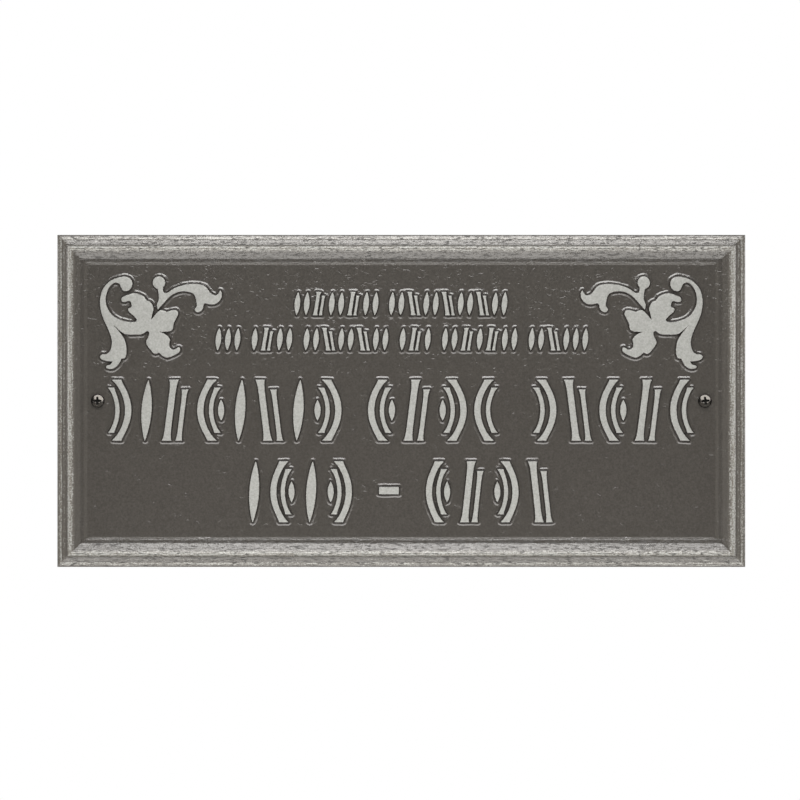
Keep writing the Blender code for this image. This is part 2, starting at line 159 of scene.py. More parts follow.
# %% [markdown]
# ## The rows of raised strokes
#
# Where the real plaque carries its inscription, this one has rows of flared strokes that are no
# letters: nested bows, leaning pairs and slim grains. Each is an upright band whose middle and
# width are small functions of its height, so one rule makes thick, thin, bent and pointed strokes.

# %% The rows, and the kinds of stroke
# A row is its foot, height, length and thickness of stroke, its groups, the gap between strokes
# and between groups as shares of a slot, and how far its middle lies to the right of the plaque's.
# In a group, ( ) are nested bows, / and \ leaning pairs, o a grain and - a dash.
ROWS = (
    (45.8, 12.4, 114.7, 1.9, "oo/oo/oo oo\\oo\\oo\\oo", 0.14, 0.65, -0.2),
    (27.0, 12.0, 200.1, 1.9, "ooo o/oo oo\\oo\\oo o/o oo/o/oo oo\\ooo", 0.14, 0.70, 0.3),
    (-21.2, 32.5, 317.7, 3.4, ")o/(o\\o) (/)( )\\(/(", 0.27, 0.95, -0.3),
    (-64.8, 32.5, 163.1, 3.3, "o(o) - (/)\\", 0.38, 1.10, -0.7),
)
FLARE = 0.5
GRAIN_SHARE = 0.55
DASH_SHARE = 0.80
DASH_FROM_TO = (15.0, 18.8)


def upright(foot, top, middle, width, steps):
    """A stroke between two heights. Its middle and its width are functions of the share of height."""
    rising = []
    falling = []
    for i in range(steps + 1):
        share = (1 - math.cos(math.pi * i / steps)) / 2
        z = foot + (top - foot) * share
        half = width(share) / 2
        rising.append(Vector((middle(share) + half, z)))
        if half > 0:
            falling.append(Vector((middle(share) - half, z)))
    return rising + falling[::-1]


def flared(stem):
    return lambda share: stem * (1 + FLARE * (2 * share - 1) ** 8)


def pointed(stem):
    return lambda share: stem * math.sin(math.pi * share) ** 0.8 if 0 < share < 1 else 0


def nested_bows(x, foot, height, slot, stem, opens, seeded):
    """Two bows, one beside the other, and on a tall row a seed in their hollow."""
    tall = height > 2 * slot
    bend = (0.42 if tall else 0.20) * slot
    near = x if opens > 0 else x + slot

    def bow(start, rise, low, high, width):
        depth = rise * (high - low) ** 2
        return upright(
            foot + height * low,
            foot + height * high,
            lambda share: near + opens * (start + width / 2 + depth * (2 * share - 1) ** 2),
            flared(width),
            24 if tall else 12,
        )

    strokes = [bow(0, bend, 0, 1, stem)]
    if tall:
        strokes.append(bow(0.42 * slot, bend, 0.13, 0.87, 0.68 * stem))
    else:
        strokes.append(bow(0.50 * slot, bend, 0, 1, 0.68 * stem))
    if tall and seeded:
        seed = near + opens * (0.86 * slot)
        z = foot + height * 0.33
        strokes.append(upright(z, z + height * 0.34, lambda share: seed, pointed(stem), 12))
    return strokes


def leaning_pair(x, foot, height, slot, stem, leans):
    """A thick and a fine stroke that lean the same way."""
    lean = 0.27 * slot
    fine = 0.72 * stem
    first = x + stem * (1 + FLARE) / 2
    second = x + slot - fine * (1 + FLARE) / 2 - lean

    def leaning(start, top, width):
        run = lean * top
        return upright(
            foot,
            foot + height * top,
            lambda share: start + (run * share if leans > 0 else lean - run * share),
            flared(width),
            16,
        )

    return [leaning(first, 1, stem), leaning(second, 0.84, fine)]


def grain(x, foot, height, slot, stem):
    middle = x + slot / 2
    lean = 0.12 * slot
    width = min(slot, 1.6 * stem)
    return [
        upright(foot, foot + height, lambda share: middle + lean * (2 * share - 1), pointed(width), 16)
    ]


def dash(x, foot, slot):
    low, high = DASH_FROM_TO
    corners = ((0, low), (slot, low), (slot, high), (0, high))
    return [[Vector((x + dx, foot + dz)) for dx, dz in corners]]


print(f"{len(ROWS)} rows, the longest {max(row[2] for row in ROWS)} mm")


# %% Spread each row to its length
def slot_share(sign):
    return {"o": GRAIN_SHARE, "-": DASH_SHARE}.get(sign, 1)


def row_outlines(foot, height, length, stem, row_of_groups, gap, group_gap, shift):
    """The strokes of a row, in slots that fill its length."""
    groups = row_of_groups.split()
    shares = sum(slot_share(sign) for group in groups for sign in group)
    gaps = sum(len(group) - 1 for group in groups) * gap + (len(groups) - 1) * group_gap
    unit = length / (shares + gaps)
    x = shift - length / 2
    made = []
    for group in groups:
        for place, sign in enumerate(group):
            slot = slot_share(sign) * unit
            if sign in "()":
                opens = 1 if sign == "(" else -1
                seeded = place + opens in range(len(group))
                made += nested_bows(x, foot, height, slot, stem, opens, seeded)
            elif sign in "/\\":
                made += leaning_pair(x, foot, height, slot, stem, 1 if sign == "/" else -1)
            elif sign == "o":
                made += grain(x, foot, height, slot, stem)
            else:
                made += dash(x, foot, slot)
            x += slot + gap * unit
        x += (group_gap - gap) * unit
    return made


for row in ROWS:
    outlines += row_outlines(*row)
print(f"{len(outlines)} raised shapes in all")

# %% [markdown]
# ## From plan to casting
#
# Sand can't hold a vertical wall, so every raised shape has a rounded top edge, a wall with a
# little draft, and a low foot around it where the pattern was filleted to its board. That foot is
# what draws the thin light line around each shape. All of it depends on one number, the distance
# from the nearest outline, so the mesh gets points at chosen distances from every outline and each
# point is lifted by a table of heights. Lines of points are joined by a constrained Delaunay
# triangulation, which keeps the edges sharp where a plain grid would make stairs.

# %% Outlines as arrays: points, neighbours and outward normals
LONGEST_STRAIGHT = 0.8
CROWDED = 0.25


def resampled(outline):
    """The outline counter-clockwise, with its long straights cut and its crowded points thinned."""
    area = sum(a.x * b.y - b.x * a.y for a, b in zip(outline, outline[1:] + outline[:1]))
    if area < 0:
        outline = outline[::-1]
    points = []
    for a, b in zip(outline, outline[1:] + outline[:1]):
        cuts = max(1, math.ceil((b - a).length / LONGEST_STRAIGHT))
        for i in range(cuts):
            p = a.lerp(b, i / cuts)
            if not points or (p - points[-1]).length > CROWDED:
                points.append(p)
    if (points[0] - points[-1]).length < CROWDED:
        points.pop()
    return np.array([(p.x, p.y) for p in points])


rims = [resampled(outline) for outline in outlines]
starts = np.cumsum([0] + [len(rim) for rim in rims])
rim = np.concatenate(rims)
after = np.arange(len(rim)) + 1
before = np.arange(len(rim)) - 1
after[starts[1:] - 1] = starts[:-1]
before[starts[:-1]] = starts[1:] - 1


def unit_vectors(v):
    return v / np.maximum(np.linalg.norm(v, axis=1, keepdims=True), 1e-9)


edge_out = unit_vectors(rim[after] - rim)[:, ::-1] * (1, -1)
rim_out = unit_vectors(edge_out + edge_out[before])
miter = 1 / np.maximum((rim_out * edge_out).sum(axis=1), 0.6)
outline_length = np.linalg.norm(rim[after] - rim, axis=1).sum()
print(f"{len(rim)} points along {outline_length * MM:.1f} m of outline")

# %% Signed distance from the nearest outline
tree = kdtree.KDTree(len(rim))
for i, p in enumerate(rim):
    tree.insert((p[0], p[1], 0), i)
tree.balance()


def distance_from_outlines(points):
    """Millimetres from the nearest outline, less than 0 on top of a raised shape."""
    near = np.array([tree.find((p[0], p[1], 0))[1] for p in points])
    best = np.full(len(points), 1e9)
    side = np.ones(len(points))
    for a, b in ((before[near], near), (near, after[near])):
        start = rim[a]
        run = rim[b] - start
        share = ((points - start) * run).sum(axis=1) / (run**2).sum(axis=1)
        inside = np.clip(share, 0, 1)
        away = points - start - run * inside[:, None]
        gap = np.linalg.norm(away, axis=1)
        out = np.where(((share > 0) & (share < 1))[:, None], edge_out[a], rim_out[near])
        closer = gap < best
        side = np.where(closer, np.sign((away * out).sum(axis=1)), side)
        best = np.where(closer, gap, best)
    return best * np.where(side == 0, 1, side)


# %% Lines of points at set distances from the outlines
def pairs_round(ring):
    """Each member of a closed ring with the next one."""
    return list(zip(ring, [*ring[1:], ring[0]]))


WALL_RINGS = (-0.22, -0.04, 0.05, 0.38)
FOOT_RINGS = (1.15, 1.90)
HOLE_RADIUS = 2.2
HOLE_POINTS = 36
SCREW_X = WIDTH / 2 - 21.8

points = []
lines = []


def add_line(xy):
    """Adds a closed line to the plan and returns the index of its first point."""
    first = sum(map(len, points))
    points.append(np.asarray(xy))
    lines.extend(pairs_round(range(first, first + len(xy))))
    return first


def rectangle(half_x, half_z, cuts_x=184, cuts_z=88):
    """Points round a rectangle, counter-clockwise from its lower left corner."""
    x = np.linspace(-half_x, half_x, cuts_x + 1)[:-1]
    z = np.linspace(-half_z, half_z, cuts_z + 1)[:-1]
    return np.concatenate(
        [
            np.stack([x, np.full(cuts_x, -half_z)], axis=1),
            np.stack([np.full(cuts_z, half_x), z], axis=1),
            np.stack([-x, np.full(cuts_x, half_z)], axis=1),
            np.stack([np.full(cuts_z, -half_x), -z], axis=1),
        ]
    )


def hole_edge(x):
    a = np.linspace(0, 2 * math.pi, HOLE_POINTS, endpoint=False)
    return np.stack([x + HOLE_RADIUS * np.cos(a), HOLE_RADIUS * np.sin(a)], axis=1)


field_edge = rectangle(HALF_X - STEP_SPREAD, HALF_Z - STEP_SPREAD)
add_line(field_edge)
holes = [add_line(hole_edge(x)) for x in (-SCREW_X, SCREW_X)]
for ring in WALL_RINGS:
    moved = rim + rim_out * (ring * miter)[:, None]
    for start, end in zip(starts[:-1], starts[1:]):
        add_line(moved[start:end])
print(f"{sum(map(len, points))} points on lines")


# %% Loose points: the rings of the foot, and a grid over the field
GRID = 2.2
FOOT_GRID = 0.5
BACK_GRID = 8.0
ROUND_HOLES = 1.2
CORNER_FAN = (0, 0.25, 0.5, 0.75, 1)


def slow_noise(xy, size, seed):
    return np.array([noise.noise(Vector((p[0] / size, p[1] / size, seed))) for p in xy])


def wander(xy):
    """How far the edge of the foot strays from its even distance, in millimetres."""
    return 0.20 * slow_noise(xy, 3.0, 1.5) + 0.12 * slow_noise(xy, 1.1, 8.5)


def thinned(xy, cell):
    """One point for each square cell, so that lines that run together don't crowd the mesh."""
    _, keep = np.unique(np.round(xy / cell).astype(int), axis=0, return_index=True)
    return xy[np.sort(keep)]


def clear_of_holes(xy, radius):
    keep = np.ones(len(xy), bool)
    for x in (-SCREW_X, SCREW_X):
        keep &= np.hypot(xy[:, 0] - x, xy[:, 1]) > radius
    return xy[keep]


def square_grid(x_ends, z_ends, cell):
    x, z = np.meshgrid(np.arange(*x_ends, cell), np.arange(*z_ends, cell))
    return np.stack([x.ravel(), z.ravel()], axis=1)


for ring in FOOT_RINGS:
    fans = []
    for share in CORNER_FAN:
        out = unit_vectors(edge_out[before] * (1 - share) + edge_out * share)
        stray = wander(rim + out * ring)
        stray = wander(rim + out * (ring - stray)[:, None])
        fans.append(np.column_stack([rim + out * (ring - stray)[:, None], ring - stray]))
    fan = np.concatenate(fans)
    fan = fan[np.abs(distance_from_outlines(fan[:, :2]) - fan[:, 2]) < 0.03, :2]
    points.append(clear_of_holes(thinned(fan, FOOT_GRID), HOLE_RADIUS + ROUND_HOLES))
margin = STEP_SPREAD + GRID
grid = square_grid((-HALF_X + margin, HALF_X - 2), (-HALF_Z + margin, HALF_Z - 2), GRID)
grid += np.array([(random.uniform(-0.3, 0.3), random.uniform(-0.3, 0.3)) for _ in grid])
away = distance_from_outlines(grid)
grid = grid[(away > FOOT_RINGS[-1] + 0.7) | (away < -1.2)]
points.append(clear_of_holes(grid, HOLE_RADIUS + ROUND_HOLES))
plan = np.concatenate(points)
print(f"{len(plan)} points in the plan of the field")

# %% Triangulate the field
# A triangle lies in a hole if its middle is nearer than this to the hole's centre.
INSIDE_HOLE = HOLE_RADIUS * 0.995
verts2d, _, faces2d, orig_verts, _, _ = delaunay_2d_cdt(
    [Vector(p) for p in plan.tolist()], lines, [], 0, 1e-5
)
flat = np.array([(v.x, v.y) for v in verts2d])
triangles = np.array(faces2d)
middles = flat[triangles].mean(axis=1)
keep = np.ones(len(triangles), bool)
for x in (-SCREW_X, SCREW_X):
    keep &= np.hypot(middles[:, 0] - x, middles[:, 1]) > INSIDE_HOLE
triangles = triangles[keep]
placed = {source: made for made, sources in enumerate(orig_verts) for source in sources}
print(f"{len(flat)} vertices and {len(triangles)} triangles in the field")

# %% [markdown]
# ## Heights
#
# `np.interp` reads a height off a short table: full relief on top, a rounded edge, the drafted
# wall, the low foot, and nothing beyond it. Slow noise moves the foot's edge in and out and lets
# the field swell by a few hundredths of a millimetre, as a surface does that was rammed in sand.
# Two more numbers are kept for the finish: how far a place was rubbed, and how much painted
# shade darkens the corners round the raised shapes and the frame's hollows.

# %% Lift the field
SECTION_AT = (*WALL_RINGS, *FOOT_RINGS)
SECTION_UP = (RELIEF, RELIEF - 0.07, RELIEF - 0.24, 0.29, 0.245, 0.0)

near_rim = distance_from_outlines(flat)
shifted = np.where(near_rim > 0.5, near_rim + wander(flat), near_rim)
lift = np.interp(shifted, SECTION_AT, SECTION_UP)
swell = 0.05 * slow_noise(flat, 14.0, 3.3) + 0.02 * slow_noise(flat, 4.0, 5.1)
to_edge = np.minimum(HALF_X - np.abs(flat[:, 0]), HALF_Z - np.abs(flat[:, 1])) - STEP_SPREAD
swell *= np.clip(to_edge / 4, 0, 1) * np.clip((near_rim + 1) / 2, 0.15, 1)
field_height = FIELD + lift + swell
field_rub = np.interp(near_rim, (-0.10, 0.02), (1, 0))
# Painted shade: the corner at the foot of each raised shape is darkened, where shade falls.
field_pooled = np.interp(near_rim, (0.0, 0.1, 0.6, 1.0), (0, 0.8, 0.6, 0))
print(f"field from {field_height.min():.2f} to {field_height.max():.2f} mm")

# %% [markdown]
# ## The moulded frame
#
# The frame is a run of moulding mitred at four corners: a rounded outer edge, a sloping band, a
# raised bead, an ogee down to a narrow ledge, and a last small step to the field. It is a stack of
# rectangles, one for each point of the section, with quads between them, so the mitres come by
# themselves and the bands can carry streaks that run along each side.

# %% The moulding's section, as a carver's template
# Inset from the outer edge, height above the back, and how far it was rubbed, from 0 to 1.
ROUNDED_EDGE = [
    (1.2 * (1 - math.cos(math.radians(a))), 4.0 + 1.2 * math.sin(math.radians(a)), 0.08 + a / 700)
    for a in (0, 15, 30, 45, 60, 75, 90)
]
SLOPING_BAND = [
    (1.60, 5.34, 0.28),
    (2.15, 5.56, 0.42),
    (2.60, 5.60, 0.26),
    (2.90, 5.60, 0.04),
    (3.50, 5.82, 0.15),
    (4.10, 6.06, 0.16),
    (4.65, 6.27, 0.12),
    (5.00, 6.34, 0.04),
]
BEAD = [
    (5.35, 6.40, 0.06),
    (5.65, 6.62, 0.16),
    (5.95, 7.12, 0.36),
    (6.25, 7.66, 0.55),
    (6.65, 8.12, 0.53),
    (7.15, RIDGE, 0.50),
    (7.65, 8.22, 0.46),
    (8.15, 7.95, 0.38),
    (8.60, 7.60, 0.26),
]
OGEE = [
    (9.10, 7.34, 0.14),
    (9.70, 7.12, 0.08),
    (10.30, 6.90, 0.04),
    (11.00, 6.54, 0.04),
    (11.70, 6.14, 0.05),
    (12.30, 5.85, 0.03),
    (12.80, 5.66, 0.00),
    (13.20, 5.56, 0.00),
]
LEDGE_AND_STEP = [
    (13.85, 5.50, 0.00),
    (14.45, 5.47, 0.01),
    (14.90, 5.35, 0.04),
    (15.40, 5.215, 0.04),
    (15.90, 5.08, 0.04),
    (16.15, 5.01, 0.01),
]
# The step to the field lies between these two insets. Its borders are shaded sharp.
STEP_FROM_TO = (14.45, 16.15)
section = ROUNDED_EDGE + SLOPING_BAND + BEAD + OGEE + LEDGE_AND_STEP
print(f"{len(section)} points in the section of the frame")

# %% Join field, frame and outer wall, one ring after the other
vertices = []
rub = []
# Painted shade for each point, which darkens corners and hollows.
pool = []
faces = []
# The wall under the rounded edge, and the small rounding at the back.
OUTER_WALL = [
    (0, 2.6, 0.1),
    (0, 1.3, 0.1),
    (0, BACK_ARRIS, 0.1),
    (0.18, 0.18, 0),
    (BACK_ARRIS, 0, 0),
]


def add_vertices(xy, heights, rubs, pooled=0.0):
    """Adds points of the plan at their heights and returns the index of the first."""
    first = len(vertices)
    heights = np.broadcast_to(heights, len(xy))
    vertices.extend((x, -h, z) for (x, z), h in zip(xy.tolist(), heights.tolist()))
    rub.extend(np.broadcast_to(rubs, len(xy)).tolist())
    pool.extend(np.broadcast_to(pooled, len(xy)).tolist())
    return first


def join_rings(outer, inner):
    """Quads between two rings of as many points."""
    for (a, b), (c, d) in zip(pairs_round(outer), pairs_round(inner)):
        faces.append((a, b, d, c))


add_vertices(flat, field_height, field_rub, field_pooled)
faces.extend(tuple(t) for t in triangles.tolist())
ring = [placed[i] for i in range(len(field_edge))]
step_rings = []
for inset, height, rubbed in [*reversed(section), *OUTER_WALL]:
    ring_xy = rectangle(WIDTH / 2 - inset, HEIGHT / 2 - inset)
    uneven = 0.03 * slow_noise(ring_xy, 9.0, inset) if 1.5 < inset < 14 else 0
    # Painted shade: the unrubbed hollows of the frame are darkened a little.
    hollow_painted_shade = 0.1 if rubbed == 0 and inset > 1 else 0
    first = add_vertices(ring_xy, np.minimum(height + uneven, RIDGE), rubbed, hollow_painted_shade)
    outer = list(range(first, first + len(ring_xy)))
    if inset in STEP_FROM_TO:
        step_rings.append(outer)
    join_rings(outer, ring)
    ring = outer
print(f"{len(vertices)} vertices and {len(faces)} faces before the back")

# %% Close the back, and line the two screw holes
# The back got only the enamel that drifted round the edge, so it counts as mostly bare.
BACK_RUB = 0.6
back_points = [rectangle(WIDTH / 2 - BACK_ARRIS, HEIGHT / 2 - BACK_ARRIS)]
back_points += [hole_edge(x) for x in (-SCREW_X, SCREW_X)]
back_lines = []
first = 0
for xy in back_points:
    back_lines += pairs_round(range(first, first + len(xy)))
    first += len(xy)
back_grid = square_grid((-180, 181), (-84, 85), BACK_GRID)
back_points.append(clear_of_holes(back_grid, HOLE_RADIUS + ROUND_HOLES))
back_plan = np.concatenate(back_points)
back_2d, _, back_triangles, back_orig, _, _ = delaunay_2d_cdt(
    [Vector(p) for p in back_plan.tolist()], back_lines, [], 0, 1e-5
)
index_of = {source: made for made, sources in enumerate(back_orig) for source in sources}
edge_count = len(back_points[0])
at = [add_vertices(np.array([(p.x, p.y)]), 0, BACK_RUB) for p in back_2d]
for i in range(edge_count):
    at[index_of[i]] = ring[i]
for a, b, c in back_triangles:
    middle = (back_2d[a] + back_2d[b] + back_2d[c]) / 3
    if all((middle - Vector((x, 0))).length > INSIDE_HOLE for x in (-SCREW_X, SCREW_X)):
        faces.append((at[a], at[c], at[b]))
for number, start in enumerate(holes):
    top = [placed[start + i] for i in range(HOLE_POINTS)]
    bottom_start = edge_count + HOLE_POINTS * number
    bottom = [at[index_of[bottom_start + i]] for i in range(HOLE_POINTS)]
    join_rings(top, bottom)
print(f"{len(faces)} faces in the closed casting")


# %% Make the mesh, and check that it is closed
def closed_mesh(name, points_in_mm, faces, **point_values):
    """A mesh with no loose points and its faces turned outwards. It prints any open edges."""
    data = bpy.data.meshes.new(name)
    data.from_pydata([(x * MM, y * MM, z * MM) for x, y, z in points_in_mm], [], faces)
    for value_name, values in point_values.items():
        data.attributes.new(value_name, "FLOAT", "POINT").data.foreach_set("value", values)
    mesh = bmesh.new()
    mesh.from_mesh(data)
    bmesh.ops.delete(mesh, geom=[v for v in mesh.verts if not v.link_faces], context="VERTS")
    bmesh.ops.recalc_face_normals(mesh, faces=mesh.faces)
    open_edges = sum(not edge.is_manifold for edge in mesh.edges)
    triangle_count = sum(len(face.verts) - 2 for face in mesh.faces)
    mesh.to_mesh(data)
    mesh.free()
    print(f"{name}: {triangle_count} triangles, {open_edges} open edges")
    return data


def add_object(name, data):
    added = bpy.data.objects.new(name, data)
    bpy.context.scene.collection.objects.link(added)
    return added


# The painted shade goes with the mesh as a number for each point.
casting_mesh = closed_mesh("plaque_casting", vertices, faces, rubbed=rub, pooled=pool)
casting = add_object("plaque_casting", casting_mesh)

# %% [markdown]
# ## Smooth or sharp
#
# Smooth shading alone would make the flat tops look like pillows, because a long triangle on top
# shares its corners with the rounded edge. Edges that turn by more than 35 degrees are marked
# sharp, and the Weighted Normal modifier lets the large flat faces decide the normal elsewhere.
# The foot and the step inside the frame turn by less, yet light catches them as thin lines. So the
# edges that run along their two borders are marked sharp too.

# %% Shade the casting
SHARP_ANGLE = math.radians(35)
ON_RING = 0.05
casting_mesh.shade_smooth()
casting_mesh.set_sharp_from_angle(angle=SHARP_ANGLE)
ring_of = np.full(len(casting_mesh.vertices), -1)
for number, ring_at in enumerate(FOOT_RINGS):
    ring_of[: len(flat)][np.abs(shifted - ring_at) < ON_RING] = number
for number, step_ring in enumerate(step_rings, len(FOOT_RINGS)):
    ring_of[step_ring] = number
for edge in casting_mesh.edges:
    first, second = edge.vertices
    if ring_of[first] >= 0 and ring_of[first] == ring_of[second]:
        edge.use_edge_sharp = True
weighted = casting.modifiers.new("flat faces stay flat", "WEIGHTED_NORMAL")
weighted.mode = "FACE_AREA"
weighted.weight = 60
weighted.keep_sharp = True
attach(casting, "root")
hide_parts("cast_plaque")
print(f"{sum(edge.use_edge_sharp for edge in casting_mesh.edges)} sharp edges")

# %% [markdown]
# ## Where the streaks run, and where the paint maps go
#
# A frame is fettled and rubbed along its length, so its streaks follow each side and turn at the
# mitres. The materials get a vector for that: how far along its side a point is, and how far in
# from the edge. It is kept for each face corner, so that it can jump at a mitre. The back has no
# mitres: there it counts as one more long side, and the patterns that belong to the frame stay off.

# %% What the mesh says of each face corner
mesh_corners = len(casting_mesh.loops)
loop_vertex = np.empty(mesh_corners, int)
casting_mesh.loops.foreach_get("vertex_index", loop_vertex)
place = np.empty(len(casting_mesh.vertices) * 3)
casting_mesh.vertices.foreach_get("co", place)
x, depth, z = (place.reshape(-1, 3) / MM)[loop_vertex].T
loop_total = np.empty(len(casting_mesh.polygons), int)
casting_mesh.polygons.foreach_get("loop_total", loop_total)


def of_each_corner(name):
    """A vector that each face has, repeated for the face's corners."""
    vectors = np.empty(len(casting_mesh.polygons) * 3)
    casting_mesh.polygons.foreach_get(name, vectors)
    return np.repeat(vectors.reshape(-1, 3), loop_total, axis=0)


facing = of_each_corner("normal")[:, 1]
centre = of_each_corner("center") / MM
print(f"{mesh_corners} face corners")

# %% Vector along each side
# A face stands upright if its normal has less than this along y.
UPRIGHT = 0.15
# The two ends count from here, far enough from the rails that no pattern repeats on both.
STILE_RUN = 400
in_x = WIDTH / 2 - np.abs(x)
in_z = HEIGHT / 2 - np.abs(z)
on_back = facing > UPRIGHT
on_stile = WIDTH / 2 - np.abs(centre[:, 0]) < HEIGHT / 2 - np.abs(centre[:, 2])
on_stile &= ~on_back
run = np.where(on_stile, z + STILE_RUN, x)
inset = np.where(on_stile, in_x, in_z)
inset[on_back] = MOULDING_WIDTH + 1 + HEIGHT / 2 - z[on_back]
attribute = casting_mesh.attributes.new("side_run", "FLOAT_VECTOR", "CORNER")
attribute.data.foreach_set("vector", (np.stack([run, inset, -depth], axis=1) * MM).ravel())
print(f"{on_stile.mean():.0%} of the corners are on the two ends of the frame")

# %% A flat map of the front and the back, with the outer wall as strips between them
MAP_MARGIN = 0.01
BACK_MAP = 0.51
WALL_STRIPS = 0.485
STRIP_SPACING = 0.006
STRIP_WIDTH = 0.0009


def on_map(length):
    """Where a length in millimetres ends on the map, which is as wide as the plaque."""
    return MAP_MARGIN + (1 - 2 * MAP_MARGIN) * length / WIDTH


outer_wall = (np.abs(facing) <= UPRIGHT) & (np.minimum(in_x, in_z) < 0.5)
side = 2 * on_stile + (np.where(on_stile, centre[:, 0], centre[:, 2]) > 0)
u = np.where(outer_wall, on_map(np.where(on_stile, z, x) + WIDTH / 2), on_map(x + WIDTH / 2))
v = on_map(z + HEIGHT / 2) + BACK_MAP * (facing >= UPRIGHT)
v = np.where(outer_wall, WALL_STRIPS + STRIP_SPACING * side - STRIP_WIDTH * depth, v)
uv = casting_mesh.uv_layers.new(name="OFBake")
uv.uv.foreach_set("vector", np.stack([u, v], axis=1).ravel())
print(f"maps: v from {v.min():.3f} to {v.max():.3f}")

# %% [markdown]
# ## The screws
#
# Each is a round-head wood screw with a cross recess. A lathe curve would give the dome, but not
# the recess, and a Boolean would leave ragged shading on a small dome. The head is made like the
# plaque instead: circles and the cross as lines in a plan, triangulated, and lifted by a formula.

# %% Sizes of the screw, in millimetres
HEAD_RADIUS = 3.65
HEAD_RISE = 2.3
HEAD_RIM = 0.5
SEAT = 5.3
SCREW_LENGTH = 25.4
THREAD_RADIUS = 1.8
CORE_RADIUS = 1.30
PITCH = 1.6
THREAD_START = 7.0
TIP = 4.0
CROSS_HALF = 2.3
CROSS_HALF_WIDTH = 0.60
CROSS_DEPTH = 1.5
HEAD_POINTS = 72
# The wall of the recess: how far outside the plain cross, and how far below the dome.
RECESS_WALL = ((0.06, 0.0), (0.0, 0.05), (-0.10, 0.55))
RECESS_FLOOR = -0.26
DOME_RINGS = (1, 0.985, 0.95, 0.9, 0.84, 0.76, 0.68)
DOME_GRID = 0.26


def cross_outline(grow):
    """A cross with rounded ends, as far outside (or inside) the plain one as grow says."""
    reach = CROSS_HALF + grow
    half = CROSS_HALF_WIDTH + grow
    quarter = [Vector((half + 0.12, half + 0.04)), Vector((half + 0.02, half + 0.20))]
    for i in range(7):
        a = math.radians(90 * i / 6)
        quarter.append(Vector((half * math.cos(a), reach - half + half * math.sin(a))))
    mirrored = [Vector((-p.x, p.y)) for p in reversed(quarter[:-1])]
    arm = quarter + mirrored
    turns = [Matrix.Rotation(math.radians(90 * i), 2) for i in range(4)]
    return [turn @ p for turn in turns for p in arm[:-1]]


def head_height(radius):
    """The dome: part of a sphere that meets the rim steeply, flattened a little on top."""
    share = min(radius / HEAD_RADIUS, 1)
    return HEAD_RIM + (HEAD_RISE - HEAD_RIM) * (1 - share**2.3) ** 0.62


print(f"{len(cross_outline(0))} points in the cross, dome {head_height(0):.2f} mm high")


# %% The head, as a plan lifted to its heights
def screw_head():
    """Points (x, height above the seat, z) and triangles of the top of the head, and its rim."""
    plan = []
    plan_lines = []
    heights = []

    def add_ring(ring, height_at):
        plan_lines.extend(pairs_round(range(len(plan), len(plan) + len(ring))))
        plan.extend(ring)
        heights.extend(height_at(p.length) for p in ring)

    for grow, drop in RECESS_WALL:
        add_ring(cross_outline(grow), lambda r: head_height(r) - drop)
    floor_height = head_height(0) - CROSS_DEPTH
    add_ring(
        cross_outline(RECESS_FLOOR), lambda r: floor_height + CROSS_DEPTH * 0.35 * r / CROSS_HALF
    )
    rim_first = len(plan)
    turns = [2 * math.pi * i / HEAD_POINTS for i in range(HEAD_POINTS)]
    for share in DOME_RINGS:
        radius = HEAD_RADIUS * share
        add_ring([radius * Vector((math.cos(a), math.sin(a))) for a in turns], head_height)
    for i, j in itertools.product(range(-14, 15), repeat=2):
        p = DOME_GRID * Vector((i, j))
        in_arms = min(abs(p.x), abs(p.y)) <= CROSS_HALF_WIDTH + 0.2 and p.length <= CROSS_HALF + 0.2
        if p.length < HEAD_RADIUS * 0.64 and not in_arms:
            plan.append(p)
            heights.append(head_height(p.length))
    plan.append(Vector((0, 0)))
    heights.append(floor_height)
    made, _, found, sources, _, _ = delaunay_2d_cdt(plan, plan_lines, [], 0, 1e-6)
    up = [heights[group[0]] if group else 0 for group in sources]
    rim_of = {source: i for i, group in enumerate(sources) for source in group}
    rim_ring = [rim_of[rim_first + i] for i in range(HEAD_POINTS)]
    return [(p.x, h, p.y) for p, h in zip(made, up)], [tuple(f) for f in found], rim_ring


head_points, head_faces, head_rim = screw_head()
print(f"{len(head_faces)} faces on the head")


# %% The shank with its thread, joined on below the head
def screw_mesh(name, x, turn):
    """One closed mesh: the head, its underside, the plain neck, the thread and the point."""
    points = list(head_points)
    made = list(head_faces)
    ring = head_rim

    def next_ring(radius_at, height):
        nonlocal ring
        first = len(points)
        for i in range(HEAD_POINTS):
            a = 2 * math.pi * i / HEAD_POINTS
            radius = radius_at(a)
            points.append((radius * math.cos(a), height, radius * math.sin(a)))
        new = range(first, first + HEAD_POINTS)
        for (a, b), (c, d) in zip(pairs_round(ring), pairs_round(new)):
            made.append((b, a, c, d))
        ring = new

    neck = THREAD_RADIUS - 0.15
    for radius, height in (
        (HEAD_RADIUS, 0.12),
        (HEAD_RADIUS - 0.1, 0.0),
        (THREAD_RADIUS + 0.1, 0.0),
        (neck, -0.4),
        (neck, -2.0),
        (neck, -THREAD_START + 0.4),
    ):
        next_ring(lambda a: radius, height)
    steps = round((SCREW_LENGTH - THREAD_START) / PITCH * 12)
    for step in range(steps):
        along = THREAD_START + (SCREW_LENGTH - THREAD_START) * step / steps
        to_tip = min((SCREW_LENGTH - along) / TIP, 1)
        grow = min((along - THREAD_START) / PITCH, 1)

        def thread(a):
            crest = (math.cos(2 * math.pi * along / PITCH + a) + 1) / 2
            ridge = (THREAD_RADIUS - CORE_RADIUS) * crest**3 * grow
            return (CORE_RADIUS + ridge) * to_tip**0.8

        next_ring(thread, -along)
    points.append((0, -SCREW_LENGTH, 0))
    made += [(b, a, len(points) - 1) for a, b in pairs_round(ring)]
    spin = Matrix.Rotation(math.radians(turn), 4, "Y")
    moved = [spin @ Vector(p) for p in points]
    data = closed_mesh(name, [(x + p.x, -(SEAT + p.y), p.z) for p in moved], made)
    data.shade_smooth()
    data.set_sharp_from_angle(angle=math.radians(40))
    return add_object(name, data)


